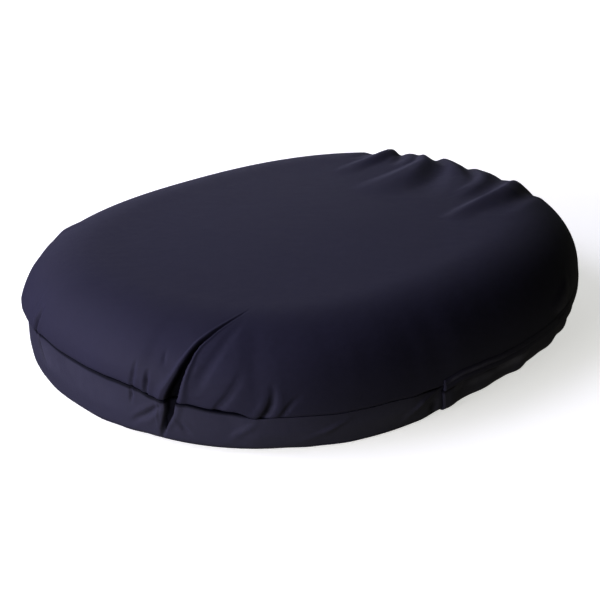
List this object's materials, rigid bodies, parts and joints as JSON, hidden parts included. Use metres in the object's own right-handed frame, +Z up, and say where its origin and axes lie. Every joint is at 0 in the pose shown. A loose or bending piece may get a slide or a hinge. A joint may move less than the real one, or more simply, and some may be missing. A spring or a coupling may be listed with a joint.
{
  "type": "orthopedic ring cushion",
  "caption": "Oval foam seat cushion in a plain navy sewn cover, with rounded shoulders, a low side band and a lapped closure at one end.",
  "frame": {"origin": "middle of the footprint of the whole cushion, on the floor", "axes": "+X along the long way of the oval to the end with the gathered closure, +Y across it, +Z up through the crown"},
  "size_m": [0.4594, 0.373, 0.0852],
  "materials": {
    "top_cloth": "smooth satin polyester, navy",
    "band_cloth": "smooth satin polyester, navy",
    "strip_cloth": "smooth satin polyester, navy",
    "lip_cloth": "smooth satin polyester, navy",
    "base_cloth": "plain polyester, dark navy"
  },
  "bodies": {
    "root": {"cushion_body": "top_cloth", "side_band": "band_cloth", "closure_strip": "strip_cloth", "closure_lip": "lip_cloth", "base_panel": "base_cloth"}
  },
  "joints": []
}
